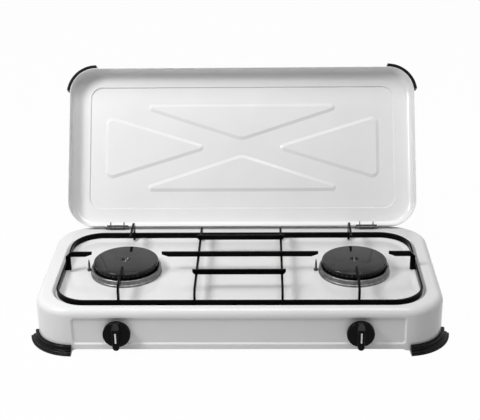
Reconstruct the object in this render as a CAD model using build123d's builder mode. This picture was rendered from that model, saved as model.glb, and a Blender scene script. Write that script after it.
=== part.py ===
from build123d import *
import math
import os

os.makedirs("parts", exist_ok=True)

# A two-burner camping stove with a hinged lid, standing open.
# +Z is up, -Y is the side with the knobs. The stove stands on Z = 0, and the origin
# is the middle of the floor area that it takes up with its lid open.
# Lengths along Y are measured from the burner line, which runs through both burners.

# ---------------------------------------------------------------- driving dimensions, mm

# Body shell, pressed from sheet
body_width = 552.0
body_length = 271.2
body_corner = 52.0
body_bottom = 3.0
arch = 2.2  # the edge between the feet is higher by this
arch_slope = 6.0
rim_top = 64.7
rim_side = 20.0  # flat rim from the well to the side face
rim_front = 13.1
rim_rear = 28.3
shoulder = 10.0
sheet = 1.0
press_slope = 45.0  # degrees that a pressed wall leans
press_bend = 2.5  # outer radius where a wall meets the rim
hole_clearance = 0.2
edge_tolerance = 0.02  # for finding an edge by its height

# Well in the deck: a wall all round, a ledge for the grate, then a soft slope to the floor
well_corner = 51.0
well_depth = 4.7
ledge_bend = 2.0
basin_gap = 0.6  # ring to the edge of the slope
basin_depth = 3.4
basin_slope = 60.0
basin_edge_bend = 3.0
basin_foot_bend = 12.0

# Recess of the front panel
panel_margin = 53.5
panel_height = 40.0
panel_middle = 32.5  # height of its middle
panel_corner = 5.0
panel_depth = 2.0
panel_bend = 1.5
panel_foot_bend = 0.8

# Corner feet, four mouldings of one shape
foot_arc = 81.0  # degrees of the corner that one covers
lip_height = 11.9
lip_width = 4.6
step_width = 8.0
step_height = 5.9
step_fall = 1.2
step_riser = 1.0
flange_width = 11.2
flange_height = 2.7
foot_edge = 0.8
foot_inner = 13.0  # how far the sole reaches in under the body
foot_seat_gap = 0.1

# Grate of flat strip
ring_clearance = 1.3  # ring to the well's wall
ring_strip = 2.8
ring_height = 7.8
bar_strip = 3.2
bar_height = 7.0
cross_bar_top = 81.2
cross_bar_x = 58.7
short_bar = 128.0
short_bar_y = 56.0
tip_length = 9.5
short_tip = 3.0
tip_height = 3.4
upright_width = 7.0
bend_cut = 7.0
rest_gap = 0.3
finger_inset = 0.9  # the deep fingers stand this much inwards of the burners' middles

# From a burner's middle to the tips of the bar and the fingers round it
inner_stop = 51.1
side_stop = 48.1
front_stop = 46.1
rear_stop = 52.6

# Burners
burner_margin = 114.4  # burner's middle to the side face
cup_radius = 50.2
cup_floor = 2.5
cup_rim_height = 9.9
cup_rim_wall = 2.4
cup_flange_height = 3.2
cup_step = 1.1
cup_edge = 0.6
port_wall_radius = 41.0
port_wall = 2.5
port_wall_height = 6.0
throat_radius = 9.8
throat_wall = 1.5
throat_drop = 8.0
throat_gap = 0.8
rib_width = 2.0
rib_height = 1.0  # above the cup's floor
crown_radius = 44.4
crown_wall = 3.2
crown_height = 13.9
port_count = 40
port_width = 2.2
port_height = 3.2
cap_radius = 45.7
cap_thickness = 3.4
cap_edge = 1.8
cap_dome = 0.7
cap_lip = 1.6
dimple_radius = 6.7
dimple_depth = 2.3
post_radius = 4.6

# Sensing pin beside each burner
sensor_gap = 0.4  # nut to burner cup
sensor_y = 4.0
sensor_height = 17.2
sensor_radius = 1.5
sensor_tip_radius = 0.6
sensor_tip_length = 6.0
sensor_nut = 3.1
sensor_nut_height = 3.0
sensor_tail = 10.0

# Mixing tubes and the screws that clamp them
tube_radius = 11.0
tube_wall = 1.0
tube_rise = 3.0  # straight run from the bend to the clamp plate
tube_entry = 3.0  # injector's tip into the tube's mouth
bell_radius = 14.0
bell_length = 12.0
tube_plate_radius = 30.0
tube_plate = 1.5
clamp_radius = 22.0  # of the circle that the clamp screws stand on
clamp_count = 3
screw_radius = 1.5
screw_head_radius = 2.8
screw_head_height = 1.8
cap_screw_radius = 2.4
cap_screw_head = 1.2
cap_screw_length = 13.0
screw_slot = 0.7

# Valves, injectors and manifold
knob_height = 31.2
valve_setback = 13.0  # panel's inside to the valve
valve_length = 26.0
valve_radius = 8.0
valve_bore_depth = 14.0
pipe_radius = 5.0
pipe_wall = 1.0
saddle_rise = 8.6  # valve's middle to the saddle for the pipe
pipe_bend = 15.0
pipe_overrun = 14.4  # past the left burner's middle
pipe_margin = 64.0  # its run to the rear, from the side face
saddle_width = 14.0
saddle_length = 26.0
strap = 1.2
strap_screw_y = 9.6
strap_screw_bite = 4.5
strap_screw_hole = 5.0
injector_radius = 5.6
injector_length = 16.0
injector_shoulder = 4.0
injector_tip_radius = 2.4
bracket_x = 60.0
bracket_width = 12.0
bracket_foot = 12.0

# Hose nozzle in the rear wall
nozzle_radius = 6.2
nozzle_flange = 8.3
nozzle_flange_width = 3.0
nozzle_collar = 8.0
nozzle_spigot = 4.0  # radius that the hose slides over
nozzle_reach = 26.0
nozzle_bore = 2.5
nozzle_inside = 2.0  # pipe end to the rear wall
nozzle_nut_rim = 1.0
nozzle_nut_height = 5.0
barb_count = 3
barb_start = 4.0
barb_height = 0.8
barb_pitch = 5.0
barb_land = 1.0

# Knobs, stems and their springs
knob_radius = 18.6
knob_draft = 2.0
knob_disc = 6.1
knob_gap = 5.0  # knob to panel, more than the push
grip_width = 9.5
grip_reach = 9.9
grip_root = 2.0
grip_round = 1.4
grip_end = 0.4  # from the disc's edge
grip_low = 12.0  # where the grip's slope starts, above the knob's middle
disc_round = 1.6
mark_width = 2.2
mark_top = 8.5
mark_bottom = -7.0
mark_depth = 0.4
stem_radius = 4.0
stem_flat = 1.0
stem_round_end = 0.5
stem_hole_gap = 1.0
fit_gap = 0.05
push_travel = 2.6
push_spare = 1.0
collar_radius = 5.4
collar_thickness = 1.2
collar_setback = 2.2  # panel's inside to the collar's rear face
seat_radius = 6.4
seat_thickness = 1.2
seat_gap = 0.3
spring_wire = 0.4
spring_turns = 4
spring_radius = 5.3
spring_end = 0.1

# Lid
lean = 30.4  # degrees that the open lid leans back from upright
lid_inset = 10.5  # body's side face to the lid's
lid_front_inset = 6.7  # body's front face to the shut lid's
lid_rear_edge = 1.8  # hinge pin to the lid's rear wall
lid_corner = 40.0
lid_depth = 30.8  # rim to the outside of the border
lid_sheet = 0.8
lid_round = 11.0
lid_rest_gap = 0.3
border_side = 27.9
border_rear = 30.0
border_front = 23.3
field_corner = 17.0
field_step = 2.0
field_slope = 35.0
emboss = 2.2
emboss_slope = 66.0

# The four pressed triangles, measured from the middle of the field and from its edges
wide_margin = 24.3
wide_half = 48.0
wide_tip = 60.0
wide_round = 11.0
tip_round = 6.0
deep_margin = 27.4
deep_half = 146.0
deep_tip = 12.2
deep_round = 6.0
blunt_round = 25.0

# Hinges
hinge_setback = 16.2  # pin to the body's rear face
hinge_margin = 76.0  # hinge's middle to the lid's side face
hinge_height = 3.5  # pin above the rim
pin_radius = 1.5
pin_length = 33.5
pin_head_radius = 2.2
pin_head = 1.0
pin_gap = 0.08
knuckle_radius = 2.6
knuckle_length = 18.0
leaf = 1.2
leaf_foot = 12.0
slot_gap = 0.5
ear_thickness = 1.5
ear_gap = 0.4
ear_radius = 2.9
ear_reach = 5.6
ear_notch_gap = 0.1
ear_plate = 1.0
ear_plate_drop = 1.0
ear_plate_depth = 13.0
ear_plate_width = 32.0

# Lid bumpers
bumper_thickness = 5.0
bumper_depth = 18.0
bumper_setback = 1.0
bumper_gap = 0.1
bumper_start = 6.0  # above the middle of the lid's corner arc

# ---------------------------------------------------------------- places worked out from them

SIDES = {"left": -1, "right": 1}

well_width = body_width - 2 * rim_side
well_length = body_length - rim_front - rim_rear
body_front = rim_front + well_length / 2  # burner line to the front face
body_rear = body_length - body_front
burner_x = body_width / 2 - burner_margin
panel_width = body_width - 2 * panel_margin

wall_run = well_depth * math.tan(math.radians(press_slope))
ring_inset = wall_run + ring_clearance
ring_width = well_width - 2 * ring_inset
ring_length = well_length - 2 * ring_inset
ring_corner = well_corner - ring_inset
basin_inset = ring_strip + basin_gap

hinge_y = body_rear - hinge_setback
lid_width = body_width - 2 * lid_inset
lid_length = hinge_y - lid_rear_edge + body_front - lid_front_inset
hinge_x = lid_width / 2 - hinge_margin
field_width = lid_width - 2 * border_side
field_length = lid_length - border_rear - border_front
field_middle = lid_rear_edge + border_rear + field_length / 2

lean_angle = math.radians(lean)
hinge_z = rim_top + hinge_height
ear_middle = knuckle_length / 2 + ear_gap + ear_thickness / 2
lid_rim = hinge_height - lid_rest_gap  # rim plane to the pin, along the lid's depth
lid_far_edge = lid_rear_edge + lid_length
back_reach = (
    hinge_y
    + (lid_far_edge - lid_round) * math.sin(lean_angle)
    + (lid_depth - lid_rim - lid_round) * math.cos(lean_angle)
    + lid_round
)
panel_face = body_front - panel_depth
panel_inside = sheet - panel_face
valve_front = panel_inside + valve_setback
valve_back = valve_front + valve_length
tube_mouth_y = valve_back + injector_length - tube_entry
saddle_top = knob_height + saddle_rise
pipe_height = saddle_top + fit_gap + pipe_radius
front_reach = panel_face + knob_gap + knob_disc + grip_reach
burner_line = (front_reach - back_reach) / 2

body_middle = (body_rear - body_front) / 2
ledge_top = rim_top - well_depth
deck_top = ledge_top - basin_depth
deck_under = deck_top - sheet
ring_bottom = ledge_top + rest_gap
pan_top = cross_bar_top + bar_height
sensor_offset = cup_radius + sensor_gap + sensor_nut
pipe_end_x = burner_x + pipe_overrun
pipe_run_x = body_width / 2 - pipe_margin
crown_bottom = deck_top + cup_floor
cap_bottom = crown_bottom + crown_height
cap_top = cap_bottom + cap_thickness


def wall_shift(thickness, slope):
    """How far a leaning wall's other face moves sideways at its own level."""
    angle = math.radians(slope)
    return thickness * (1 / math.cos(angle) - math.tan(angle))


def level(height, x=0.0, y=0.0):
    """Horizontal plane at a height, its origin at x and at y from the burner line."""
    return Plane((x, burner_line + y, height))


def upright(x=0.0, y=0.0, height=0.0):
    """Vertical plane facing the front: its x is the stove's X, its y is up."""
    return Plane((x, burner_line + y, height), x_dir=(1, 0, 0), z_dir=(0, -1, 0))


def sideways(x=0.0, y=0.0, height=0.0):
    """Vertical plane facing +X: its x runs to the rear, its y is up."""
    return Plane((x, burner_line + y, height), x_dir=(0, 1, 0), z_dir=(1, 0, 0))


def post_axis(x, y=0.0):
    return Axis((x, burner_line + y, 0), (0, 0, 1))


def around(place):
    """A narrow range of positions on both sides of a place."""
    return place - edge_tolerance, place + edge_tolerance


def level_edges(form, height):
    """The edges of a form that lie at a height."""
    return form.edges().filter_by_position(Axis.Z, *around(height))


pin_point = Vector(0, burner_line + hinge_y, hinge_z)
lid_up = Vector(0, math.sin(lean_angle), math.cos(lean_angle))
lid_facing = Vector(0, -math.cos(lean_angle), math.sin(lean_angle))


def lid_plane(height=0.0):
    """Plane of the open lid: x along the hinge, y up the lid, z out of its inside."""
    return Plane(pin_point, x_dir=(1, 0, 0), z_dir=lid_facing).offset(height)


def save(piece, name):
    piece.part.label = name
    export_step(piece.part, f"parts/{name}.step")


# ---------------------------------------------------------------- body shell


def body_form(inset, bottom):
    """The pressed body as a solid block, drawn in by inset all over."""
    grow = wall_shift(inset, press_slope)
    with BuildPart() as form:
        with BuildSketch(level(bottom, y=body_middle)):
            RectangleRounded(body_width - 2 * inset, body_length - 2 * inset, body_corner - inset)
        extrude(amount=rim_top - inset - bottom)
        fillet(form.edges().group_by(Axis.Z)[-1], shoulder - inset)
        # well, down to the ledge for the grate
        with BuildSketch(level(rim_top - inset)):
            RectangleRounded(well_width + 2 * grow, well_length + 2 * grow, well_corner + grow)
        extrude(amount=-well_depth, taper=press_slope, mode=Mode.SUBTRACT)
        fillet(form.edges(Select.LAST).group_by(Axis.Z)[-1], press_bend - inset)
        fillet(level_edges(form, ledge_top - inset), ledge_bend + inset)
        # basin, from the ledge to the floor
        spread = wall_shift(inset, basin_slope) - basin_inset
        with BuildSketch(level(ledge_top - inset)):
            RectangleRounded(ring_width + 2 * spread, ring_length + 2 * spread, ring_corner + spread)
        extrude(amount=-basin_depth, taper=basin_slope, mode=Mode.SUBTRACT)
        fillet(form.edges(Select.LAST).group_by(Axis.Z)[-1], basin_edge_bend - inset)
        fillet(level_edges(form, deck_top - inset), basin_foot_bend + inset)
        # recess of the front panel
        with BuildSketch(upright(y=inset - body_front, height=panel_middle)):
            RectangleRounded(panel_width + 2 * grow, panel_height + 2 * grow, panel_corner + grow)
        extrude(amount=-panel_depth, taper=press_slope, mode=Mode.SUBTRACT)
        fillet(form.edges(Select.LAST).group_by(Axis.Y)[0], panel_bend - inset)
        floor = form.edges().filter_by_position(Axis.Y, *around(burner_line - panel_face + inset))
        fillet(floor, panel_foot_bend + inset)
    return form.part


with BuildPart() as body_shell:
    add(body_form(0, body_bottom))
    add(body_form(sheet, body_bottom - sheet), mode=Mode.SUBTRACT)
    # the lower edge is higher between the feet
    for plane, middle, span in (
        (upright(), 0, body_width - 2 * body_corner),
        (sideways(), body_middle, body_length - 2 * body_corner),
    ):
        with BuildSketch(plane):
            with Locations((middle, body_bottom)):
                Polygon(
                    (-span / 2, 0),
                    (span / 2, 0),
                    (span / 2 - arch_slope, arch),
                    (-span / 2 + arch_slope, arch),
                    align=None,
                )
        extrude(amount=body_width, both=True, mode=Mode.SUBTRACT)
    for turn in SIDES.values():
        # throat, the clamp screws and the sensing pin
        with BuildSketch(level(deck_top, x=turn * burner_x)):
            Circle(throat_radius + throat_gap)
            with PolarLocations(clamp_radius, clamp_count, start_angle=90):
                Circle(screw_radius + hole_clearance)
            with Locations((-sensor_offset, sensor_y)):
                Circle(sensor_radius + hole_clearance)
        extrude(amount=-2 * sheet, mode=Mode.SUBTRACT)
        # valve stem
        with BuildSketch(upright(turn * burner_x, -body_front, knob_height)):
            Circle(stem_radius + stem_hole_gap)
        extrude(amount=-(panel_depth + 2 * sheet), mode=Mode.SUBTRACT)
        # slot in the rim for the hinge leaf
        with BuildSketch(level(rim_top, x=turn * hinge_x, y=hinge_y + knuckle_radius - leaf / 2)):
            Rectangle(knuckle_length + 2 * slot_gap, leaf + 2 * slot_gap)
        extrude(amount=-2 * sheet, mode=Mode.SUBTRACT)
    # hose nozzle
    with BuildSketch(upright(pipe_run_x, body_rear, pipe_height)):
        Circle(nozzle_radius + hole_clearance)
    extrude(amount=2 * sheet, mode=Mode.SUBTRACT)
save(body_shell, "body_shell")

# ---------------------------------------------------------------- corner feet

corner_x = body_width / 2 - body_corner
corner_front = -body_front + body_corner
corner_rear = body_rear - body_corner

# each foot is pushed on by hand, so where it starts differs a little
foot_places = {
    "foot_front_right": (corner_x, corner_front, -85),
    "foot_rear_right": (corner_x, corner_rear, 5),
    "foot_rear_left": (-corner_x, corner_rear, 94),
    "foot_front_left": (-corner_x, corner_front, 189),
}
seat_out = body_corner + foot_seat_gap
seat_in = body_corner - sheet - foot_seat_gap
seat_height = body_bottom - foot_seat_gap
lip_out = body_corner + lip_width
step_out = body_corner + step_width
flange_out = body_corner + flange_width

for name, (x, y, start) in foot_places.items():
    out = Vector(math.cos(math.radians(start)), math.sin(math.radians(start)), 0)
    section = Plane((x, burner_line + y, 0), x_dir=out, z_dir=out.cross(Vector(0, 0, 1)))
    with BuildPart() as foot:
        with BuildSketch(section):
            with BuildLine():
                Polyline(
                    (seat_out, lip_height),
                    (lip_out - foot_edge, lip_height),
                    (lip_out, lip_height - foot_edge),
                    (lip_out, step_height),
                    (step_out, step_height - step_fall),
                    (step_out, step_height - step_fall - step_riser),
                    (flange_out, flange_height),
                    (flange_out, foot_edge),
                    (flange_out - foot_edge, 0),
                    (body_corner - foot_inner, 0),
                    (body_corner - foot_inner, seat_height),
                    (seat_in - lip_width, seat_height),
                    (seat_in - lip_width, lip_height),
                    (seat_in, lip_height),
                    (seat_in, seat_height),
                    (seat_out, seat_height),
                    close=True,
                )
            make_face()
        revolve(axis=post_axis(x, y), revolution_arc=foot_arc)
    save(foot, name)

# ---------------------------------------------------------------- grate

half_ring_x = ring_width / 2 - ring_strip
half_ring_y = ring_length / 2 - ring_strip

with BuildPart() as grate_ring:
    with BuildSketch(level(ring_bottom)):
        RectangleRounded(ring_width, ring_length, ring_corner)
        RectangleRounded(2 * half_ring_x, 2 * half_ring_y, ring_corner - ring_strip, mode=Mode.SUBTRACT)
    extrude(amount=ring_height)
save(grate_ring, "grate_ring")


def bent_bar(half_span, top):
    """Outline of a strip that stands on both sides of the ring and runs across it."""
    bottom = top - bar_height
    inner = half_span - upright_width
    Polyline(
        (-half_span, ring_bottom),
        (-half_span, top - bend_cut),
        (-half_span + bend_cut, top),
        (half_span - bend_cut, top),
        (half_span, top - bend_cut),
        (half_span, ring_bottom),
        (inner, ring_bottom),
        (inner, bottom),
        (-inner, bottom),
        (-inner, ring_bottom),
        close=True,
    )


def finger(half_span, tip):
    """Outline of an L-shaped finger on the side at +half_span, its tapered end at tip."""
    bottom = pan_top - bar_height
    Polyline(
        (half_span, ring_bottom),
        (half_span, pan_top - bend_cut),
        (half_span - bend_cut, pan_top),
        (tip, pan_top),
        (tip, pan_top - tip_height),
        (tip + tip_length, bottom),
        (half_span - upright_width, bottom),
        (half_span - upright_width, ring_bottom),
        close=True,
    )


def pan_bar(half, tip):
    """Outline of a straight pan bar from -half to half with its lower corners cut off."""
    Polyline(
        (-half, pan_top),
        (half, pan_top),
        (half, pan_top - tip_height),
        (half - tip, cross_bar_top),
        (-half + tip, cross_bar_top),
        (-half, pan_top - tip_height),
        close=True,
    )


with BuildPart() as cross_bars:
    for turn in SIDES.values():
        with BuildSketch(sideways(x=turn * cross_bar_x)):
            with BuildLine():
                bent_bar(half_ring_y, cross_bar_top)
            make_face()
        extrude(amount=bar_strip / 2, both=True)
save(cross_bars, "cross_bars")

with BuildPart() as pan_bar_long:
    with BuildSketch(upright()):
        with BuildLine():
            pan_bar(burner_x - inner_stop, tip_length)
        make_face()
    extrude(amount=bar_strip / 2, both=True)
save(pan_bar_long, "pan_bar_long")

with BuildPart() as pan_bars_short:
    for turn in SIDES.values():
        with BuildSketch(upright(y=turn * short_bar_y)):
            with BuildLine():
                pan_bar(short_bar / 2, short_tip)
            make_face()
        extrude(amount=bar_strip / 2, both=True)
save(pan_bars_short, "pan_bars_short")

with BuildPart() as side_fingers:
    with BuildSketch(upright()):
        with BuildLine():
            finger(half_ring_x, burner_x + side_stop)
        make_face()
        mirror(about=Plane.YZ)
    extrude(amount=bar_strip / 2, both=True)
save(side_fingers, "side_fingers")

with BuildPart() as deep_fingers:
    for turn in SIDES.values():
        with BuildSketch(sideways(x=turn * (burner_x - finger_inset))):
            with BuildLine():
                finger(half_ring_y, front_stop)
            make_face()
            mirror(about=Plane.YZ, mode=Mode.REPLACE)
            with BuildLine():
                finger(half_ring_y, rear_stop)
            make_face()
        extrude(amount=bar_strip / 2, both=True)
save(deep_fingers, "deep_fingers")

# ---------------------------------------------------------------- burners

cup_inner = cup_radius - cup_step - cup_rim_wall
cup_top = deck_top + cup_rim_height
flange_top = deck_top + cup_flange_height
throat_in = throat_radius - throat_wall

for side, turn in SIDES.items():
    x = turn * burner_x

    with BuildPart() as burner_cup:
        with BuildSketch(upright(x)):
            with BuildLine():
                Polyline(
                    (throat_in, deck_top - throat_drop),
                    (throat_radius, deck_top - throat_drop),
                    (throat_radius, deck_top),
                    (cup_radius, deck_top),
                    (cup_radius, flange_top - cup_edge),
                    (cup_radius - cup_edge, flange_top),
                    (cup_radius - cup_step, flange_top),
                    (cup_radius - cup_step, cup_top - cup_edge),
                    (cup_radius - cup_step - cup_edge, cup_top),
                    (cup_inner, cup_top),
                    (cup_inner, crown_bottom),
                    (port_wall_radius, crown_bottom),
                    (port_wall_radius, crown_bottom + port_wall_height),
                    (port_wall_radius - port_wall, crown_bottom + port_wall_height),
                    (port_wall_radius - port_wall, crown_bottom),
                    (throat_in, crown_bottom),
                    close=True,
                )
            make_face()
        revolve(axis=post_axis(x))
        # post for the cap screw, on ribs over the throat
        with BuildSketch(level(deck_top, x=x)):
            with PolarLocations(0, clamp_count):
                Rectangle(throat_radius, rib_width, align=(Align.MIN, Align.CENTER))
            Circle(post_radius)
        extrude(amount=cup_floor + rib_height)
        with BuildSketch(level(deck_top, x=x)):
            Circle(post_radius)
        extrude(amount=cap_bottom - deck_top)
        with BuildSketch(level(deck_top, x=x)):
            Circle(screw_radius + hole_clearance / 2)
        extrude(amount=cap_bottom - deck_top, mode=Mode.SUBTRACT)
        with BuildSketch(level(deck_top, x=x)):
            with PolarLocations(clamp_radius, clamp_count, start_angle=90):
                Circle(screw_radius + hole_clearance / 2)
        extrude(amount=cup_floor, mode=Mode.SUBTRACT)
    save(burner_cup, f"burner_cup_{side}")

    with BuildPart() as flame_ring:
        with BuildSketch(level(crown_bottom, x=x)):
            Circle(crown_radius)
            Circle(crown_radius - crown_wall, mode=Mode.SUBTRACT)
        extrude(amount=crown_height)
        with BuildSketch(level(cap_bottom, x=x)):
            with PolarLocations(crown_radius - crown_wall / 2, port_count):
                Rectangle(2 * crown_wall, port_width)
        extrude(amount=-port_height, mode=Mode.SUBTRACT)
    save(flame_ring, f"flame_ring_{side}")

    lip_outer = crown_radius - crown_wall - hole_clearance
    cap_rim = cap_radius - cap_edge
    edge_top = cap_top - cap_dome
    edge_rise = cap_edge * math.sin(math.radians(45))
    with BuildPart() as burner_cap:
        with BuildSketch(upright(x)):
            with BuildLine():
                Polyline(
                    (screw_radius + hole_clearance, cap_top - dimple_depth),
                    (dimple_radius - dimple_depth, cap_top - dimple_depth),
                    (dimple_radius, cap_top),
                )
                ThreePointArc(
                    (dimple_radius, cap_top),
                    ((dimple_radius + cap_rim) / 2, cap_top - cap_dome / 3),
                    (cap_rim, edge_top),
                )
                ThreePointArc(
                    (cap_rim, edge_top),
                    (cap_rim + edge_rise, edge_top - cap_edge + edge_rise),
                    (cap_radius, edge_top - cap_edge),
                )
                Polyline(
                    (cap_radius, edge_top - cap_edge),
                    (cap_radius, cap_bottom),
                    (lip_outer, cap_bottom),
                    (lip_outer, cap_bottom - cap_lip),
                    (lip_outer - cap_lip, cap_bottom - cap_lip),
                    (lip_outer - cap_lip, cap_bottom),
                    (screw_radius + hole_clearance, cap_bottom),
                    (screw_radius + hole_clearance, cap_top - dimple_depth),
                )
            make_face()
        revolve(axis=post_axis(x))
    save(burner_cap, f"burner_cap_{side}")

    # mixing tube: bell mouth, straight run, elbow and clamp plate
    tube_start = tube_mouth_y + bell_length
    tube_bend = deck_under - tube_plate - tube_rise - knob_height
    with BuildPart() as mixing_tube:
        with BuildLine():
            FilletPolyline(
                (x, burner_line + tube_start, knob_height),
                (x, burner_line, knob_height),
                (x, burner_line, deck_under),
                radius=tube_bend,
            )
        with BuildSketch(upright(x, tube_start, knob_height)):
            Circle(tube_radius)
            Circle(tube_radius - tube_wall, mode=Mode.SUBTRACT)
        sweep()
        with BuildSketch(sideways(x, 0, knob_height)):
            with BuildLine():
                Polyline(
                    (tube_mouth_y, bell_radius),
                    (tube_start, tube_radius),
                    (tube_start, tube_radius - tube_wall),
                    (tube_mouth_y, bell_radius - tube_wall),
                    close=True,
                )
            make_face()
        revolve(axis=Axis((x, 0, knob_height), (0, 1, 0)))
        with BuildSketch(level(deck_under, x=x)):
            Circle(tube_plate_radius)
            Circle(tube_radius - tube_wall, mode=Mode.SUBTRACT)
            with PolarLocations(clamp_radius, clamp_count, start_angle=90):
                Circle(screw_radius + hole_clearance, mode=Mode.SUBTRACT)
        extrude(amount=-tube_plate)
    save(mixing_tube, f"mixing_tube_{side}")

    with BuildPart() as sensor:
        sensor_x = x - sensor_offset
        with BuildSketch(upright(sensor_x, sensor_y)):
            with BuildLine():
                Polyline(
                    (0, deck_top - sensor_tail),
                    (sensor_radius, deck_top - sensor_tail),
                    (sensor_radius, deck_top + sensor_height - sensor_tip_length),
                    (sensor_tip_radius, deck_top + sensor_height),
                    (0, deck_top + sensor_height),
                    close=True,
                )
            make_face()
        revolve(axis=post_axis(sensor_x, sensor_y))
    save(sensor, f"flame_sensor_{side}")

with BuildPart() as sensor_nuts:
    for turn in SIDES.values():
        for height, way in ((deck_top, 1), (deck_under, -1)):
            with BuildSketch(level(height, x=turn * burner_x - sensor_offset, y=sensor_y)):
                RegularPolygon(sensor_nut, 6)
                Circle(sensor_radius + fit_gap, mode=Mode.SUBTRACT)
            extrude(amount=way * sensor_nut_height)
save(sensor_nuts, "sensor_nuts")

with BuildPart() as cap_screws:
    for turn in SIDES.values():
        x = turn * burner_x
        seat = cap_top - dimple_depth
        with BuildSketch(upright(x)):
            with BuildLine():
                Polyline(
                    (0, seat - cap_screw_length),
                    (screw_radius, seat - cap_screw_length),
                    (screw_radius, seat),
                    (cap_screw_radius, seat),
                    (cap_screw_radius, seat + cap_screw_head / 2),
                    (cap_screw_radius - cap_screw_head / 2, seat + cap_screw_head),
                    (0, seat + cap_screw_head),
                    close=True,
                )
            make_face()
        revolve(axis=post_axis(x))
        with BuildSketch(level(seat + cap_screw_head, x=x)):
            Rectangle(2 * cap_screw_radius, screw_slot)
        extrude(amount=-cap_screw_head / 2, mode=Mode.SUBTRACT)
save(cap_screws, "cap_screws")

with BuildPart() as tube_screws:
    for turn in SIDES.values():
        with BuildSketch(level(deck_under - tube_plate, x=turn * burner_x)):
            with PolarLocations(clamp_radius, clamp_count, start_angle=90):
                Circle(screw_head_radius)
        extrude(amount=-screw_head_height)
        with BuildSketch(level(deck_under - tube_plate, x=turn * burner_x)):
            with PolarLocations(clamp_radius, clamp_count, start_angle=90):
                Circle(screw_radius)
        extrude(amount=tube_plate + sheet + cup_floor)
save(tube_screws, "tube_screws")

# ---------------------------------------------------------------- valves and gas line

pipe_y = valve_front + valve_length / 2
strap_drop = pipe_height - saddle_top

for side, turn in SIDES.items():
    x = turn * burner_x
    with BuildPart() as valve:
        with BuildSketch(upright(x, valve_front, knob_height)):
            Circle(valve_radius)
        extrude(amount=-valve_length)
        with BuildSketch(level(knob_height, x=x, y=pipe_y)):
            Rectangle(saddle_width, saddle_length)
        extrude(amount=saddle_top - knob_height)
        with BuildSketch(upright(x, valve_front, knob_height)):
            Circle(stem_radius + fit_gap)
        extrude(amount=-valve_bore_depth, mode=Mode.SUBTRACT)
        with BuildSketch(level(saddle_top, x=x, y=pipe_y)):
            with GridLocations(0, 2 * strap_screw_y, 1, 2):
                Circle(screw_radius + fit_gap)
        extrude(amount=-strap_screw_hole, mode=Mode.SUBTRACT)
    save(valve, f"valve_{side}")

    with BuildPart() as injector:
        with BuildSketch(upright(x, valve_back, knob_height)):
            RegularPolygon(injector_radius, 6)
        extrude(amount=-injector_length / 3)
        with BuildSketch(sideways(x, 0, knob_height)):
            with BuildLine():
                Polyline(
                    (valve_back, 0),
                    (valve_back, injector_shoulder),
                    (valve_back + injector_length / 2, injector_shoulder),
                    (valve_back + injector_length, injector_tip_radius),
                    (valve_back + injector_length, 0),
                    close=True,
                )
            make_face()
        revolve(axis=Axis((x, 0, knob_height), (0, 1, 0)))
    save(injector, f"injector_{side}")

with BuildPart() as pipe_clamps:
    for turn in SIDES.values():
        with BuildSketch(sideways(turn * burner_x, pipe_y, pipe_height)):
            inner = pipe_radius + 2 * fit_gap
            outer = inner + strap
            Circle(outer)
            with Locations((0, -strap_drop / 2)):
                Rectangle(2 * outer, strap_drop)
            with Locations((0, -strap_drop + strap / 2)):
                Rectangle(saddle_length, strap)
            Circle(inner, mode=Mode.SUBTRACT)
            with Locations((0, -outer)):
                Rectangle(2 * inner, 2 * outer, mode=Mode.SUBTRACT)
            with Locations((0, -outer - strap_drop)):
                Rectangle(saddle_length, 2 * outer, mode=Mode.SUBTRACT)
        extrude(amount=saddle_width / 2, both=True)
    for turn in SIDES.values():
        with BuildSketch(level(saddle_top, x=turn * burner_x, y=pipe_y)):
            with GridLocations(0, 2 * strap_screw_y, 1, 2):
                Circle(screw_radius + hole_clearance)
        extrude(amount=2 * strap, mode=Mode.SUBTRACT)
save(pipe_clamps, "pipe_clamps")

with BuildPart() as clamp_screws:
    strap_top = saddle_top + strap
    for turn in SIDES.values():
        with BuildSketch(level(strap_top, x=turn * burner_x, y=pipe_y)):
            with GridLocations(0, 2 * strap_screw_y, 1, 2):
                Circle(screw_head_radius)
        extrude(amount=screw_head_height)
        with BuildSketch(level(strap_top, x=turn * burner_x, y=pipe_y)):
            with GridLocations(0, 2 * strap_screw_y, 1, 2):
                Circle(screw_radius)
        extrude(amount=-strap - strap_screw_bite)
save(clamp_screws, "clamp_screws")

pipe_end_y = body_rear - sheet - nozzle_inside
with BuildPart() as manifold_pipe:
    with BuildLine():
        FilletPolyline(
            (-pipe_end_x, burner_line + pipe_y, pipe_height),
            (pipe_run_x, burner_line + pipe_y, pipe_height),
            (pipe_run_x, burner_line + pipe_end_y, pipe_height),
            radius=pipe_bend,
        )
    with BuildSketch(sideways(-pipe_end_x, pipe_y, pipe_height)):
        Circle(pipe_radius)
        Circle(pipe_radius - pipe_wall, mode=Mode.SUBTRACT)
    sweep()
    with BuildSketch(sideways(-pipe_end_x, pipe_y, pipe_height)):
        Circle(pipe_radius)
    extrude(amount=-2 * pipe_wall)
save(manifold_pipe, "manifold_pipe")

with BuildPart() as pipe_brackets:
    for turn in SIDES.values():
        loop = pipe_radius + 2 * fit_gap
        with BuildSketch(sideways(turn * bracket_x, pipe_y, pipe_height)):
            Circle(loop + strap)
            with Locations((0, (deck_under - pipe_height) / 2)):
                Rectangle(strap, deck_under - pipe_height)
            with Locations((bracket_foot / 2, deck_under - pipe_height - strap / 2)):
                Rectangle(bracket_foot, strap)
            Circle(loop, mode=Mode.SUBTRACT)
        extrude(amount=bracket_width / 2, both=True)
save(pipe_brackets, "pipe_brackets")

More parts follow.
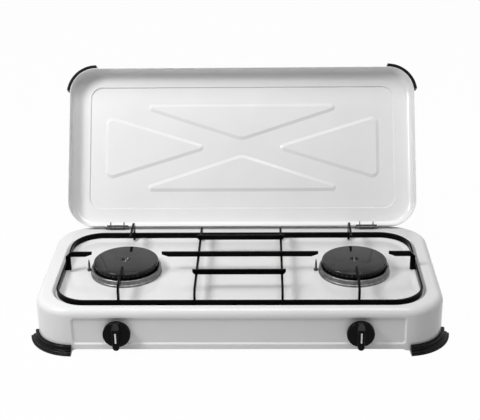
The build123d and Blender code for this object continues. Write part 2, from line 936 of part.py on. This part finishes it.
with BuildPart() as hose_nozzle:
    collar = pipe_radius + fit_gap
    spigot_start = body_rear + nozzle_flange_width
    barbs = []
    for n in range(barb_count):
        foot_y = spigot_start + barb_start + n * barb_pitch
        barbs += [
            (foot_y, nozzle_spigot),
            (foot_y, nozzle_spigot + barb_height),
            (foot_y + barb_pitch - barb_land, nozzle_spigot),
        ]
    with BuildSketch(sideways(pipe_run_x, 0, pipe_height)):
        with BuildLine():
            Polyline(
                (pipe_end_y - nozzle_collar, collar),
                (pipe_end_y - nozzle_collar, nozzle_radius),
                (body_rear, nozzle_radius),
                (body_rear, nozzle_flange),
                (spigot_start, nozzle_flange),
                (spigot_start, nozzle_spigot),
                *barbs,
                (body_rear + nozzle_reach, nozzle_spigot),
                (body_rear + nozzle_reach, nozzle_bore),
                (pipe_end_y + fit_gap, nozzle_bore),
                (pipe_end_y + fit_gap, collar),
                close=True,
            )
        make_face()
    revolve(axis=Axis((pipe_run_x, 0, pipe_height), (0, 1, 0)))
save(hose_nozzle, "hose_nozzle")

with BuildPart() as nozzle_nut:
    with BuildSketch(upright(pipe_run_x, body_rear - sheet, pipe_height)):
        RegularPolygon(nozzle_flange + nozzle_nut_rim, 6)
        Circle(nozzle_radius + fit_gap, mode=Mode.SUBTRACT)
    extrude(amount=nozzle_nut_height)
save(nozzle_nut, "nozzle_nut")

# ---------------------------------------------------------------- knobs and stems

knob_back = -panel_face - knob_gap
knob_front = knob_back - knob_disc
grip_face = knob_front - grip_reach
collar_back = panel_inside + collar_setback
seat_front = collar_back + seat_gap
seat_back = seat_front + seat_thickness
stem_front = knob_front - grip_reach / 2

for side, turn in SIDES.items():
    x = turn * burner_x
    grip_half = knob_radius - grip_end
    with BuildPart() as grip:
        with BuildSketch(sideways(x, 0, knob_height)):
            with BuildLine():
                Polyline(
                    (knob_front + grip_root, -grip_half),
                    (grip_face, -grip_half),
                    (grip_face, grip_low),
                    (knob_front, grip_half),
                    (knob_front + grip_root, grip_half),
                    close=True,
                )
            make_face()
        extrude(amount=grip_width / 2, both=True)
        with BuildSketch(upright(x, knob_front + grip_root, knob_height)):
            SlotOverall(2 * grip_half, grip_width, rotation=90)
        extrude(amount=grip_root + grip_reach, mode=Mode.INTERSECT)
        fillet(grip.faces().sort_by(Axis.Y)[0].edges(), grip_round)

    with BuildPart() as knob:
        with BuildSketch(upright(x, knob_back, knob_height)):
            Circle(knob_radius)
        extrude(amount=knob_disc, taper=knob_draft)
        fillet(knob.edges().group_by(Axis.Y)[0], disc_round)
        add(grip.part)
        # bore for the stem, and the groove of the mark
        with BuildSketch(upright(x, knob_back, knob_height)):
            Circle(stem_radius + fit_gap)
            with Locations((0, stem_radius - stem_flat / 2 + fit_gap)):
                Rectangle(2 * stem_radius, stem_flat, mode=Mode.SUBTRACT)
        extrude(amount=knob_back - stem_front + fit_gap, mode=Mode.SUBTRACT)
        mark_middle = (mark_top + mark_bottom) / 2
        with BuildSketch(upright(x, grip_face, knob_height + mark_middle)):
            SlotOverall(mark_top - mark_bottom, mark_width, rotation=90)
        extrude(amount=-mark_depth, mode=Mode.SUBTRACT)
    save(knob, f"knob_{side}")

    with BuildPart() as stem:
        stem_back = valve_front + valve_bore_depth - push_travel - push_spare
        flat_end = panel_inside - stem_round_end
        with BuildSketch(upright(x, stem_front, knob_height)):
            Circle(stem_radius)
            with Locations((0, stem_radius - stem_flat / 2)):
                Rectangle(2 * stem_radius, stem_flat, mode=Mode.SUBTRACT)
        extrude(amount=-(flat_end - stem_front))
        with BuildSketch(upright(x, flat_end, knob_height)):
            Circle(stem_radius)
        extrude(amount=-(stem_back - flat_end))
        with BuildSketch(upright(x, collar_back, knob_height)):
            Circle(collar_radius)
        extrude(amount=collar_thickness)
    save(stem, f"valve_stem_{side}")

    with BuildPart() as spring_seat:
        with BuildSketch(upright(x, seat_back, knob_height)):
            Circle(seat_radius)
            Circle(stem_radius + seat_gap, mode=Mode.SUBTRACT)
        extrude(amount=seat_thickness)
    save(spring_seat, f"spring_seat_{side}")

    spring_length = valve_front - seat_back - 2 * (spring_wire + spring_end)
    with BuildPart() as stem_spring:
        with BuildLine() as coil:
            Helix(
                pitch=spring_length / spring_turns,
                height=spring_length,
                radius=spring_radius,
                center=(x, burner_line + seat_back + spring_wire + spring_end, knob_height),
                direction=(0, 1, 0),
            )
        with BuildSketch(Plane(coil.wire() @ 0, z_dir=coil.wire() % 0)):
            RegularPolygon(spring_wire, 6)
        sweep(path=coil.wire(), is_frenet=True)
    save(stem_spring, f"stem_spring_{side}")

# ---------------------------------------------------------------- lid


def lid_triangles():
    """Each pressed triangle as the three circles that round its corners: x, y, radius."""
    base = field_width / 2 - wide_margin - wide_round
    edge = field_length / 2 - deep_margin - deep_round
    for turn in SIDES.values():
        yield (
            (turn * base, wide_half - wide_round, wide_round),
            (turn * base, wide_round - wide_half, wide_round),
            (turn * (wide_tip + tip_round), 0, tip_round),
        )
        yield (
            (deep_half - deep_round, turn * edge, deep_round),
            (deep_round - deep_half, turn * edge, deep_round),
            (0, turn * (deep_tip + blunt_round), blunt_round),
        )


def lid_form(inset):
    """The lid as a solid block in its open place, drawn in by inset all over."""
    border = lid_rim - lid_depth + inset
    field = border - field_step
    run = field_step * math.tan(math.radians(field_slope)) + wall_shift(inset, field_slope)
    grow = wall_shift(inset, emboss_slope)
    shrink = emboss * math.tan(math.radians(emboss_slope))
    with BuildPart() as form:
        with BuildSketch(lid_plane(lid_rim)):
            with Locations((0, lid_rear_edge + lid_length / 2)):
                RectangleRounded(lid_width - 2 * inset, lid_length - 2 * inset, lid_corner - inset)
        extrude(amount=-(lid_depth - inset))
        outside = form.faces().filter_by(lid_plane()).sort_by(Axis(pin_point, lid_facing))[0]
        fillet(outside.edges(), lid_round - inset)
        with BuildSketch(lid_plane(field)):
            with Locations((0, field_middle)):
                RectangleRounded(field_width - 2 * run, field_length - 2 * run, field_corner)
        extrude(amount=field_step, taper=-field_slope)
        # four triangles pressed back towards the inside
        for corners in lid_triangles():
            for height, spread in ((field, grow), (field + emboss, grow - shrink)):
                with BuildSketch(lid_plane(height)):
                    for x, y, radius in corners:
                        with Locations((x, field_middle + y)):
                            Circle(radius + spread)
                    make_hull()
            loft(ruled=True, mode=Mode.SUBTRACT)
    return form.part


with BuildPart() as lid_shell:
    add(lid_form(0))
    add(lid_form(lid_sheet), mode=Mode.SUBTRACT)
    # a notch in the rear wall for each hinge
    for turn in SIDES.values():
        with BuildSketch(lid_plane(lid_rim)):
            with Locations((turn * hinge_x, lid_rear_edge)):
                Rectangle(pin_length + 2 * pin_head + 2 * ear_gap, 4 * lid_sheet)
        extrude(amount=-(lid_rim + ear_radius + ear_notch_gap), mode=Mode.SUBTRACT)
save(lid_shell, "lid_shell")

bumper_radius = lid_corner + bumper_gap
for side, turn in SIDES.items():
    with BuildPart() as lid_bumper:
        with BuildSketch(lid_plane(lid_rim - bumper_setback)):
            with Locations((turn * (lid_width / 2 - lid_corner), lid_far_edge - lid_corner)):
                Circle(bumper_radius + bumper_thickness)
                Circle(bumper_radius, mode=Mode.SUBTRACT)
                size = 2 * (bumper_radius + bumper_thickness)
                inward = Align.MAX if turn > 0 else Align.MIN
                Rectangle(size, 2 * size, align=(inward, Align.CENTER), mode=Mode.SUBTRACT)
            with Locations((turn * (lid_width / 2 - lid_corner), lid_far_edge - lid_corner + bumper_start)):
                Rectangle(2 * size, size, align=(Align.CENTER, Align.MAX), mode=Mode.SUBTRACT)
        extrude(amount=-bumper_depth)
    save(lid_bumper, f"lid_bumper_{side}")

# ---------------------------------------------------------------- hinges

plate_inner = lid_rear_edge + lid_sheet
plate_top = lid_rim - ear_plate_drop

for side, turn in SIDES.items():
    x = turn * hinge_x
    with BuildPart() as hinge_knuckle:
        with BuildSketch(sideways(x, hinge_y, hinge_z)):
            Circle(knuckle_radius)
            web_y = knuckle_radius - leaf / 2
            web_drop = hinge_height + sheet + leaf
            with Locations((web_y, -web_drop / 2)):
                Rectangle(leaf, web_drop)
            with Locations((knuckle_radius - leaf_foot / 2, -web_drop + leaf / 2)):
                Rectangle(leaf_foot, leaf)
            Circle(pin_radius + fit_gap, mode=Mode.SUBTRACT)
        extrude(amount=knuckle_length / 2, both=True)
    save(hinge_knuckle, f"hinge_knuckle_{side}")

    with BuildPart() as hinge_pin:
        with BuildSketch(sideways(x, hinge_y, hinge_z)):
            Circle(pin_radius)
        extrude(amount=pin_length / 2, both=True)
        for way in SIDES.values():
            with BuildSketch(sideways(x + way * (pin_length / 2), hinge_y, hinge_z)):
                Circle(pin_head_radius)
            extrude(amount=way * pin_head)
    save(hinge_pin, f"hinge_pin_{side}")

    side_view = Plane(pin_point + Vector(x, 0, 0), x_dir=lid_up, z_dir=(1, 0, 0))
    with BuildPart() as hinge_ears:
        with BuildSketch(side_view):
            with Locations((plate_inner + ear_plate / 2, plate_top - ear_plate_depth / 2)):
                Rectangle(ear_plate, ear_plate_depth)
        extrude(amount=ear_plate_width / 2, both=True)
        # the knuckle's room between the ears
        with BuildSketch(side_view):
            Circle(knuckle_radius + ear_gap)
        extrude(amount=knuckle_length / 2 + ear_gap, both=True, mode=Mode.SUBTRACT)
        for way in SIDES.values():
            with BuildSketch(side_view.offset(way * ear_middle)):
                with Locations((ear_reach / 2, 0)):
                    SlotCenterToCenter(ear_reach, 2 * ear_radius)
            extrude(amount=ear_thickness / 2, both=True)
        with BuildSketch(side_view):
            Circle(pin_radius + pin_gap)
        extrude(amount=pin_length / 2, both=True, mode=Mode.SUBTRACT)
    save(hinge_ears, f"hinge_ears_{side}")
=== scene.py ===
# %% [markdown]
# # A two-burner camping stove, dressed for a studio render
#
# The stove is a low tray of pressed steel under white enamel, with two round burners,
# a black strip grate on top, two knobs in front and a tray-shaped lid that leans back.
# The solids come from CAD as a fixed frame: every node is already in place, in metres.
# Blender could be used to model them again, but then the hinges and the knobs would no
# longer agree with the motion model. So this lesson keeps the solids, gives each one a
# finish, and adds only what a CAD model leaves out.

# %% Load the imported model
import math

import bmesh
import bpy
from mathutils import Matrix, Vector


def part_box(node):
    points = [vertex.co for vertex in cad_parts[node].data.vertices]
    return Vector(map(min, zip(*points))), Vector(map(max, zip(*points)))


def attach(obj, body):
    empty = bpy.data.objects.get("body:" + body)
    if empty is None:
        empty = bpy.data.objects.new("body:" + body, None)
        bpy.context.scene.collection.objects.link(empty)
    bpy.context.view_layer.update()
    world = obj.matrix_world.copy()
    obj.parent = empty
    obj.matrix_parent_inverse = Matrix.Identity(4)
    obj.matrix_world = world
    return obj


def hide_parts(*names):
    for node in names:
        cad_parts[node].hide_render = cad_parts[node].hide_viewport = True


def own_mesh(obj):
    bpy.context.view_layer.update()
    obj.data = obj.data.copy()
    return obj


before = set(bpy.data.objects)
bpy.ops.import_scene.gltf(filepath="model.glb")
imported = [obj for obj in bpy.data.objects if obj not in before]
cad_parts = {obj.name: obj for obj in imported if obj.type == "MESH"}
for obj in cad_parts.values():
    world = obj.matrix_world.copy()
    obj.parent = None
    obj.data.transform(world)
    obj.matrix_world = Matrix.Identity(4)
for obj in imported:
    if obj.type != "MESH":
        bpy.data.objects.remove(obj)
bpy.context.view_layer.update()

print("CAD nodes:", len(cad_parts))

# %% [markdown]
# ## Places that the rest is measured from
#
# Typed-in positions go stale as soon as the CAD changes. The safer way is to read them
# from the nodes: the burners give the line that the camera and the lamps are set from,
# and the body's rim gives the height that the lamps are aimed at.

# %% Read the burner line and the rim's height
cap_low, cap_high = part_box("burner_cap_right")
burner_line = Vector((0, (cap_low.y + cap_high.y) / 2, 0))
rim_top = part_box("body_shell")[1].z
print("burner line at y = %.4f, rim at z = %.4f" % (burner_line.y, rim_top))

# %% [markdown]
# ## Camera
#
# A product like this is shot from in front and above with a long lens, so that the far
# edge of the body is hardly narrower than the near one. A camera can be aimed with a
# Track To constraint, but a constraint hides the numbers. Here the three axes of the
# camera are worked out from its pitch, yaw and roll, and set as one matrix.

# %% Build the camera
camera_pitch = math.radians(23.48)
camera_yaw = math.radians(-1.39)
camera_roll = math.radians(-0.75)
camera_lens = 84.2
camera_place = burner_line + Vector((0.0357, -1.4292, 0.7732))

looking = Vector((
    math.sin(camera_yaw) * math.cos(camera_pitch),
    math.cos(camera_yaw) * math.cos(camera_pitch),
    -math.sin(camera_pitch),
))
level_right = Vector((math.cos(camera_yaw), -math.sin(camera_yaw), 0))
level_up = level_right.cross(looking)
right = level_right * math.cos(camera_roll) + level_up * math.sin(camera_roll)
up = level_up * math.cos(camera_roll) - level_right * math.sin(camera_roll)

camera_data = bpy.data.cameras.new("camera")
camera_data.lens = camera_lens
camera = bpy.data.objects.new("camera", camera_data)
camera.matrix_world = Matrix((
    (right.x, up.x, -looking.x, camera_place.x),
    (right.y, up.y, -looking.y, camera_place.y),
    (right.z, up.z, -looking.z, camera_place.z),
    (0, 0, 0, 1),
))
bpy.context.scene.collection.objects.link(camera)
bpy.context.scene.camera = camera
print("camera at", [round(c, 3) for c in camera_place])

# %% [markdown]
# ## Light
#
# White enamel shows its shape only through soft steps of grey. Light from all round
# would wash them out, so most of it comes from two lamps. The key stands high up on the
# left and lays the shadow of every bar to the right of it, on the deck. A sun lamp would
# draw hard lines there, and an area lamp a third of a metre wide gives the soft ones of
# a studio. A wider lamp, almost overhead, lights the deck and the lid evenly. Together
# they light a level surface to about its own colour.

# %% Add the lamps
def add_lamp(name, place, aim, size, power):
    """A square area lamp at place, aimed at a point; power is in watts."""
    data = bpy.data.lights.new(name, "AREA")
    data.size = size
    data.energy = power
    lamp = bpy.data.objects.new(name, data)
    turn = (aim - place).to_track_quat("-Z", "Y").to_matrix().to_4x4()
    lamp.matrix_world = Matrix.Translation(place) @ turn
    bpy.context.scene.collection.objects.link(lamp)
    print(name, "stands", round((place - aim).length, 2), "m away")


aim = burner_line + Vector((0, 0, rim_top))
add_lamp("key", aim + Vector((-0.78, -0.4, 0.9)), aim, size=0.36, power=8.9)
add_lamp("fill", aim + Vector((0.1, -0.35, 1.55)), aim, size=0.9, power=11.3)

# %% [markdown]
# ## Room
#
# The background is pure white, but a room as bright as that would light the stove from
# all sides. The world is therefore dim where it only lights things, and white where it
# is seen, be it by the camera, in a glossy surface or through glass. The Light Path node
# tells these rays apart.

# %% Light the room
room_level = 0.14
seen_level = 1.0
world = bpy.data.worlds.new("room")
world.use_nodes = True
bpy.context.scene.world = world
room = world.node_tree


def seen_directly(tree):
    """1 for a ray from the camera, from a glossy surface or through glass, otherwise 0."""
    path = tree.nodes.new("ShaderNodeLightPath")
    total = path.outputs["Is Camera Ray"]
    for ray in ("Is Glossy Ray", "Is Transmission Ray"):
        larger = tree.nodes.new("ShaderNodeMath")
        larger.operation = "MAXIMUM"
        tree.links.new(total, larger.inputs[0])
        tree.links.new(path.outputs[ray], larger.inputs[1])
        total = larger.outputs["Value"]
    return total


background = room.nodes["Background"]
background.inputs["Color"].default_value = (1, 1, 1, 1)
strength = room.nodes.new("ShaderNodeMix")
strength.data_type = "FLOAT"
strength.inputs["A"].default_value = room_level
strength.inputs["B"].default_value = seen_level
room.links.new(seen_directly(room), strength.inputs["Factor"])
room.links.new(strength.outputs["Result"], background.inputs["Strength"])
bpy.context.scene.view_settings.view_transform = "Standard"
print("the room lights at", room_level, "and is seen at", seen_level)

# %% [markdown]
# ## Floor
#
# The stove stands on a white sweep that can't be told from the background. A plane lit
# by the lamps alone would turn grey towards the horizon. Where it is seen, its material
# is therefore nearly all white glow, with a trace of a matt surface for the shadow under
# the feet. For any other ray it is that matt surface alone, which throws the lamps'
# light back onto the front of the body.

# %% Make the floor
floor_half = 6
floor_grey = 0.66
glow_share = 0.98

floor_mesh = bpy.data.meshes.new("floor")
shape = bmesh.new()
bmesh.ops.create_grid(shape, x_segments=1, y_segments=1, size=floor_half)
shape.to_mesh(floor_mesh)
shape.free()
floor = bpy.data.objects.new("floor", floor_mesh)
bpy.context.scene.collection.objects.link(floor)

floor_material = bpy.data.materials.new("white_sweep")
floor_material.use_nodes = True
tree = floor_material.node_tree
tree.nodes.clear()
output = tree.nodes.new("ShaderNodeOutputMaterial")
mix = tree.nodes.new("ShaderNodeMixShader")
matt = tree.nodes.new("ShaderNodeBsdfDiffuse")
matt.inputs["Color"].default_value = (floor_grey, floor_grey, floor_grey, 1)
glow = tree.nodes.new("ShaderNodeEmission")
glow.inputs["Strength"].default_value = seen_level
share = tree.nodes.new("ShaderNodeMath")
share.operation = "MULTIPLY"
share.inputs[1].default_value = glow_share
tree.links.new(seen_directly(tree), share.inputs[0])
tree.links.new(share.outputs["Value"], mix.inputs["Fac"])
tree.links.new(matt.outputs["BSDF"], mix.inputs[1])
tree.links.new(glow.outputs["Emission"], mix.inputs[2])
tree.links.new(mix.outputs["Shader"], output.inputs["Surface"])
floor_mesh.materials.append(floor_material)
print("floor is", 2 * floor_half, "m wide")

# %% [markdown]
# ## Noise in true scale
#
# Every finish has a little life in it: a coarse noise shifts its colour, and a finer one
# shifts its roughness and lifts its surface. Painting textures by hand would give more
# control, but noise in Object coordinates needs no unwrapping and has a true scale,
# because the nodes keep their real size.

# %% Define the noise and what it drives
noise_detail = 3.0  # how many finer noises lie on the first


def noise(tree, size):
    """A noise whose patches are about size metres across."""
    place = tree.nodes.new("ShaderNodeTexCoord")
    texture = tree.nodes.new("ShaderNodeTexNoise")
    texture.inputs["Scale"].default_value = 1 / size
    texture.inputs["Detail"].default_value = noise_detail
    tree.links.new(place.outputs["Object"], texture.inputs["Vector"])
    return texture.outputs["Fac"]


def between(tree, factor, low, high, start=0.35, end=0.65):
    """Maps a factor's range from start to end onto low to high."""
    span = tree.nodes.new("ShaderNodeMapRange")
    span.inputs["From Min"].default_value = start
    span.inputs["From Max"].default_value = end
    span.inputs["To Min"].default_value = low
    span.inputs["To Max"].default_value = high
    tree.links.new(factor, span.inputs["Value"])
    return span.outputs["Result"]


def blend(tree, factor, first, second):
    """Mixes two colours by a factor from 0 to 1; each is a triple or another node's output."""
    mix = tree.nodes.new("ShaderNodeMix")
    mix.data_type = "RGBA"
    for socket, colour in (("A", first), ("B", second)):
        if isinstance(colour, tuple):
            mix.inputs[socket].default_value = (*colour, 1)
        else:
            tree.links.new(colour, mix.inputs[socket])
    tree.links.new(factor, mix.inputs["Factor"])
    return mix.outputs["Result"]


def bump(tree, height, distance, below):
    """Lifts the surface by height times distance in metres, over another normal if given."""
    node = tree.nodes.new("ShaderNodeBump")
    node.inputs["Strength"].default_value = 1.0
    node.inputs["Distance"].default_value = distance
    tree.links.new(height, node.inputs["Height"])
    if below:
        tree.links.new(below, node.inputs["Normal"])
    return node.outputs["Normal"]


print("noise is ready")

# %% [markdown]
# ## Edges that catch the light
#
# No moulded, cast or enamelled edge is quite sharp: it is rounded by about a millimetre
# or less and draws a fine bright line. Rounding each one in the mesh would take
# thousands of faces. The Bevel node bends only the normal near an edge, and where the
# bent and the flat normal part, there is an edge: that gives the place where a lighter
# colour is painted on as a highlight.

# %% Define rounded edges and their painted highlight
edge_samples = 6
edge_found = 0.75  # cosine between the two normals at which the painted highlight is full
edge_lost = 0.97  # and at which it ends


def rounding(tree, radius):
    """The normal of a surface whose sharp edges are rounded to this radius in metres."""
    node = tree.nodes.new("ShaderNodeBevel")
    node.samples = edge_samples
    node.inputs["Radius"].default_value = radius
    return node.outputs["Normal"]


def sharpness(tree, rounded):
    """1 at a sharp edge and 0 away from it, from the rounded and the flat normal."""
    flat = tree.nodes.new("ShaderNodeNewGeometry").outputs["Normal"]
    same = tree.nodes.new("ShaderNodeVectorMath")
    same.operation = "DOT_PRODUCT"
    tree.links.new(flat, same.inputs[0])
    tree.links.new(rounded, same.inputs[1])
    return between(tree, same.outputs["Value"], 1, 0, edge_found, edge_lost)


print("edges are ready")

# %% [markdown]
# ## A finish
#
# Each material could be wired by hand, but then they would drift apart. One function
# builds every finish from these parts, so that each material below is only the few
# numbers which set it apart. Values that hold all over, such as how metallic it is or
# its index of refraction, go straight onto the shader's sockets.

# %% Define a finish and how to put it on
def grey(value):
    """A neutral colour."""
    return (value, value, value)


def finish(name, shades, roughness, patch, grain, lift=0.0, metal=0.0,
           edge=0.0, edge_highlight=None, **sockets):
    """A Principled material whose colour, roughness and surface vary a little.

    shades and roughness are the limits that each moves between. patch and grain are the
    sizes of the colour's and the surface's patches, and lift is how high the latter
    stand. edge is the radius at which sharp edges catch the light, and the colour after
    it is painted on those edges as a highlight. All lengths are in metres.
    """
    material = bpy.data.materials.new(name)
    material.use_nodes = True
    tree = material.node_tree
    shader = tree.nodes["Principled BSDF"]
    shader.inputs["Metallic"].default_value = metal
    for socket, value in sockets.items():
        shader.inputs[socket].default_value = value
    colour = blend(tree, between(tree, noise(tree, patch), 0, 1), *shades)
    wave = noise(tree, grain)
    tree.links.new(between(tree, wave, *roughness), shader.inputs["Roughness"])
    rounded = rounding(tree, edge) if edge else None
    # Near sharp edges the colour is painted lighter: a painted highlight.
    if edge_highlight:
        colour = blend(tree, sharpness(tree, rounded), colour, edge_highlight)
    tree.links.new(colour, shader.inputs["Base Color"])
    tree.links.new(bump(tree, wave, lift, rounded), shader.inputs["Normal"])
    return material


def dress(material, *names):
    """Gives the CAD nodes of these names one material."""
    for name in names:
        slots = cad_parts[name].data.materials
        slots.clear()
        slots.append(material)
    print(material.name, "on", len(names), "nodes")


def both(name):
    """A left and a right node's names."""
    return [name + "_left", name + "_right"]


# %% [markdown]
# ## White enamel
#
# Body and lid are steel under fired enamel, which is glass: glossy, but never quite
# flat. It flows a little in the kiln and sets with a faint ripple some millimetres wide.
# A perfectly smooth gloss looks like a rendering, so the ripple is the detail that counts.

# %% Fire the body and the lid
white_enamel = finish(
    "white_enamel", shades=(grey(0.79), grey(0.81)), roughness=(0.16, 0.24),
    patch=0.06, grain=0.007, lift=0.00003,
)
dress(white_enamel, "body_shell", "lid_shell")

# %% [markdown]
# ## Black enamel on the burners
#
# The caps and the toothed rings below them are enamelled in black. The caps are glossy
# discs whose rounded rims catch the light, helped by a faint painted highlight along
# their edges. The rings stand in their shade, and only the edges of their teeth, painted
# lighter as a highlight, are light enough to be told apart. One black for both would
# be simpler, but then the teeth would vanish.

# %% Fire the caps and the flame rings
# The lighter colour on the edges of caps and rings is a painted highlight.
cap_enamel = finish(
    "cap_enamel", shades=(grey(0.001), grey(0.018)), roughness=(0.03, 0.07),
    patch=0.03, grain=0.016, lift=0.00003, edge=0.001, edge_highlight=grey(0.05), IOR=1.36,
)
ring_enamel = finish(
    "ring_enamel", shades=(grey(0.003), grey(0.006)), roughness=(0.18, 0.3),
    patch=0.01, grain=0.002, lift=0.00003, edge=0.0006, edge_highlight=grey(0.4), IOR=1.2,
)
dress(cap_enamel, *both("burner_cap"))
dress(ring_enamel, *both("flame_ring"))

# %% [markdown]
# ## Black enamel on the grate
#
# The strip grate is dipped in enamel and drained, so the coat is thin, deep black and
# slightly rough. A paler line is painted along its edges as a highlight. A chamfer on
# every strip would catch that light for real, but the painted shade finds the edges by
# itself.

# %% Dip the grate
# The paler line along the strips' edges is a painted highlight.
strip_enamel = finish(
    "strip_enamel", shades=(grey(0.001), grey(0.003)), roughness=(0.1, 0.22),
    patch=0.02, grain=0.003, lift=0.00004, edge=0.0005, edge_highlight=grey(0.05), IOR=1.12,
)
dress(strip_enamel, "grate_ring", "cross_bars", "pan_bar_long", "pan_bars_short",
      "side_fingers", "deep_fingers")

# %% [markdown]
# ## Bare metals in sight
#
# The burner cups are die cast aluminium, left bare and already dark, with a painted
# highlight along their edges.
# The hinges, the caps' screws and the pins beside the burners are dark steel. Grey paint
# would do for them from afar, but a metal's colour is its reflection, so they are fully
# metallic and what varies most on them is the roughness.

# %% Cast and turn the metals in sight
# The bright colour on the cups' edges is a painted highlight.
cast_aluminium = finish(
    "cast_aluminium", shades=(grey(0.13), grey(0.21)), roughness=(0.3, 0.45),
    patch=0.006, grain=0.0015, lift=0.00003, metal=1.0, edge=0.0005, edge_highlight=grey(0.6),
)
hinge_steel = finish(
    "hinge_steel", shades=(grey(0.07), grey(0.13)), roughness=(0.24, 0.38),
    patch=0.003, grain=0.001, lift=0.00001, metal=1.0, edge=0.0003,
)
screw_steel = finish(
    "screw_steel", shades=(grey(0.08), grey(0.14)), roughness=(0.12, 0.2),
    patch=0.003, grain=0.001, lift=0.00001, metal=1.0,
)
pin_steel = finish(
    "pin_steel", shades=(grey(0.08), grey(0.14)), roughness=(0.25, 0.4),
    patch=0.003, grain=0.001, lift=0.00001, metal=1.0,
)
dress(cast_aluminium, *both("burner_cup"))
dress(hinge_steel, *both("hinge_ears"), *both("hinge_knuckle"), *both("hinge_pin"))
dress(screw_steel, "cap_screws")
dress(pin_steel, *both("flame_sensor"), "sensor_nuts")

# %% [markdown]
# ## Metals of the gas line
#
# The pipe, the mixing tubes, the valve stems and all that holds them are zinc plated.
# The valves, the injectors and the hose nozzle are turned from brass, and the springs
# are wound from bright wire. Much of this could stay plain, because little but the
# nozzle and the stems shows while the stove stands. But it is turned over to be mended,
# so each metal gets its own finish.

# %% Plate the gas line and turn the brass
zinc = finish(
    "zinc_plate", shades=((0.50, 0.50, 0.51), (0.60, 0.60, 0.60)), roughness=(0.26, 0.42),
    patch=0.004, grain=0.002, lift=0.00001, metal=1.0,
)
brass = finish(
    "turned_brass", shades=((0.58, 0.42, 0.18), (0.68, 0.50, 0.24)), roughness=(0.22, 0.38),
    patch=0.01, grain=0.002, lift=0.00001, metal=1.0,
)
spring_wire = finish(
    "spring_wire", shades=(grey(0.38), grey(0.5)), roughness=(0.25, 0.35),
    patch=0.002, grain=0.001, metal=1.0,
)
dress(zinc, *both("mixing_tube"), "tube_screws", "manifold_pipe", "pipe_brackets",
      "pipe_clamps", "clamp_screws", *both("spring_seat"), *both("valve_stem"))
dress(brass, *both("valve"), *both("injector"), "hose_nozzle", "nozzle_nut")
dress(spring_wire, *both("stem_spring"))

# %% [markdown]
# ## Plastics and rubber
#
# The knobs are moulded in a hard glossy plastic. The feet are a softer plastic with a
# satin skin. Both are painted a little grey along their edges as a highlight. The lid's
# bumpers are rubber, the dullest black of the three. One black could serve them all,
# but it is only by their gloss that three black mouldings on one stove are told apart.

# %% Mould the knobs, feet and bumpers
# The grey colour on the edges of knobs and feet is a painted highlight.
knob_plastic = finish(
    "glossy_plastic", shades=(grey(0.001), grey(0.003)), roughness=(0.05, 0.1),
    patch=0.01, grain=0.004, lift=0.00002, edge=0.0008, edge_highlight=grey(0.06), IOR=1.17,
)
foot_plastic = finish(
    "satin_plastic", shades=(grey(0.001), grey(0.003)), roughness=(0.08, 0.15),
    patch=0.01, grain=0.002, lift=0.00002, edge=0.0012, edge_highlight=grey(0.09), IOR=1.18,
)
rubber = finish(
    "rubber", shades=(grey(0.003), grey(0.006)), roughness=(0.3, 0.42),
    patch=0.01, grain=0.001, lift=0.00003, edge=0.0008, IOR=1.17,
)
dress(knob_plastic, *both("knob"))
dress(foot_plastic, *both("foot_front"), *both("foot_rear"))
dress(rubber, *both("lid_bumper"))

# %% [markdown]
# ## The knobs' marks
#
# Each knob's grip has a groove that is filled with white paint, so that its pointer can
# be read from afar. A texture could colour the groove's floor, but a thin filling with
# rounded ends is the real thing and catches the light at its edge. It is drawn as a
# circle, whose upper and lower halves are moved apart to make a slot, and the slot is
# extruded.

# %% Size the marks and mix their paint
mark_width = 0.0021
mark_length = 0.0154
mark_lift = 0.00075  # the groove's middle above the knob's
mark_sunk = 0.0004  # the filling's back below the grip's face
mark_depth = 0.00035
mark_edge = 0.00012  # the bevel round its face

paint = finish(
    "mark_paint", shades=(grey(0.86), grey(0.90)), roughness=(0.4, 0.5),
    patch=0.004, grain=0.002, lift=0.00001,
)
print("a mark is %.1f mm long" % (1000 * mark_length))


# %% Fill the grooves
def add_piece(name, shape, material, body):
    """Makes a bmesh into a piece that rides on a body and takes a slot's finish."""
    mesh = bpy.data.meshes.new(name)
    shape.to_mesh(mesh)
    shape.free()
    mesh.materials.clear()
    mesh.materials.append(material)
    piece = bpy.data.objects.new(name, mesh)
    bpy.context.scene.collection.objects.link(piece)
    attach(piece, body)
    print(name, "has", len(mesh.polygons), "faces")
    return piece


for side in ("left", "right"):
    low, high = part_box("knob_" + side)
    middle = (low + high) / 2
    shape = bmesh.new()
    made = bmesh.ops.create_circle(
        shape, cap_ends=True, segments=32, radius=mark_width / 2,
        matrix=Matrix.Rotation(math.radians(90), 4, "X"),
    )
    half = (mark_length - mark_width) / 2
    for vert in made["verts"]:
        vert.co.z += half if vert.co.z > 0 else -half
    pushed = bmesh.ops.extrude_face_region(shape, geom=shape.faces[:])
    front = [item for item in pushed["geom"] if isinstance(item, bmesh.types.BMVert)]
    bmesh.ops.translate(shape, verts=front, vec=(0, -mark_depth, 0))
    rim = [edge for edge in shape.edges if all(vert in front for vert in edge.verts)]
    bmesh.ops.bevel(
        shape, geom=rim, offset=mark_edge, segments=2, profile=0.5, affect="EDGES", material=-1
    )
    place = (middle.x, low.y + mark_sunk, middle.z + mark_lift)
    bmesh.ops.translate(shape, verts=shape.verts[:], vec=place)
    bmesh.ops.recalc_face_normals(shape, faces=shape.faces[:])
    add_piece("knob_mark_" + side, shape, paint, "knob_" + side)

# %% [markdown]
# ## Springs kept with the stove
#
# A knob is pushed before it turns, and a coil spring behind the panel pushes it back. In
# the motion model that spring is stiff and would slide into its valve. Here a copy of
# its solid is put on the stove in its place, and the CAD spring is hidden. Winding it
# again from a circle would work too, but the copy is sure to fit its seat.

# %% Copy the springs onto the stove
merge_distance = 0.00001
for side in ("left", "right"):
    node = "stem_spring_" + side
    low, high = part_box(node)
    shape = bmesh.new()
    shape.from_mesh(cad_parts[node].data)
    bmesh.ops.remove_doubles(shape, verts=shape.verts[:], dist=merge_distance)
    spring = add_piece("coil_spring_" + side, shape, spring_wire, "stove")
    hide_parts(node)
    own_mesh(spring)
